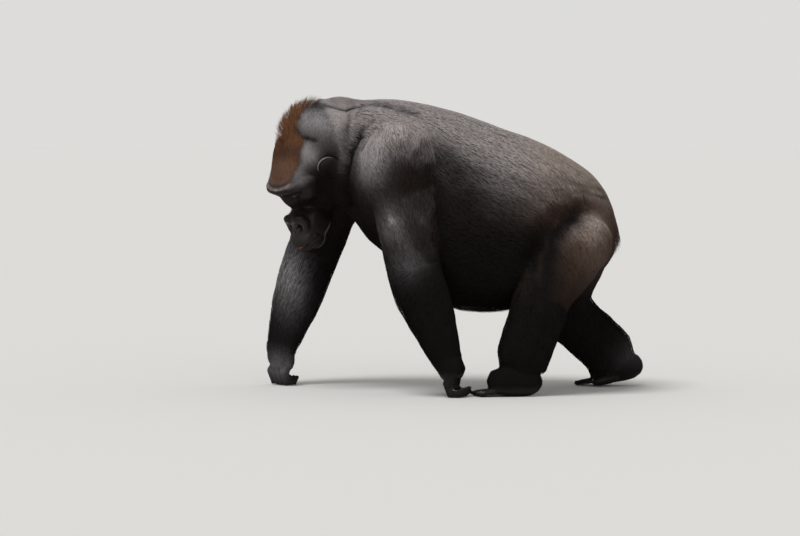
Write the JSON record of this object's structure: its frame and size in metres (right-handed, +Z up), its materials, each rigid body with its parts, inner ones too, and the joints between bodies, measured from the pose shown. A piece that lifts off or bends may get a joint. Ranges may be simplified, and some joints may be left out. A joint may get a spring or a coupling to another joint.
{
  "type": "gorilla",
  "caption": "Still life-size gorilla walking on its knuckles, its head lowered and turned to its left, with a dark coat and a chestnut crown.",
  "frame": {"origin": "on the ground, under the middle of the animal's box", "axes": "+Z up, the animal faces -X, its left side towards -Y"},
  "size_m": [1.21, 0.671, 0.9268],
  "materials": {
    "coat": "short dense hair, grey-brown where light catches the back",
    "skin": "bare dark skin, satin, glossier on the nose",
    "eye": "wet gloss, dark brown"
  },
  "bodies": {
    "root": {"head": "skin", "ear_left": "skin", "ear_right": "skin", "eye_left": "eye", "eye_right": "eye", "neck": "coat", "chest": "coat", "abdomen": "coat", "rump": "coat", "upper_arm_left": "coat", "forearm_left": "coat", "hand_left": "skin", "upper_arm_right": "coat", "forearm_right": "coat", "hand_right": "skin", "thigh_left": "coat", "shank_left": "coat", "foot_left": "skin", "thigh_right": "coat", "shank_right": "coat", "foot_right": "skin"}
  },
  "joints": []
}
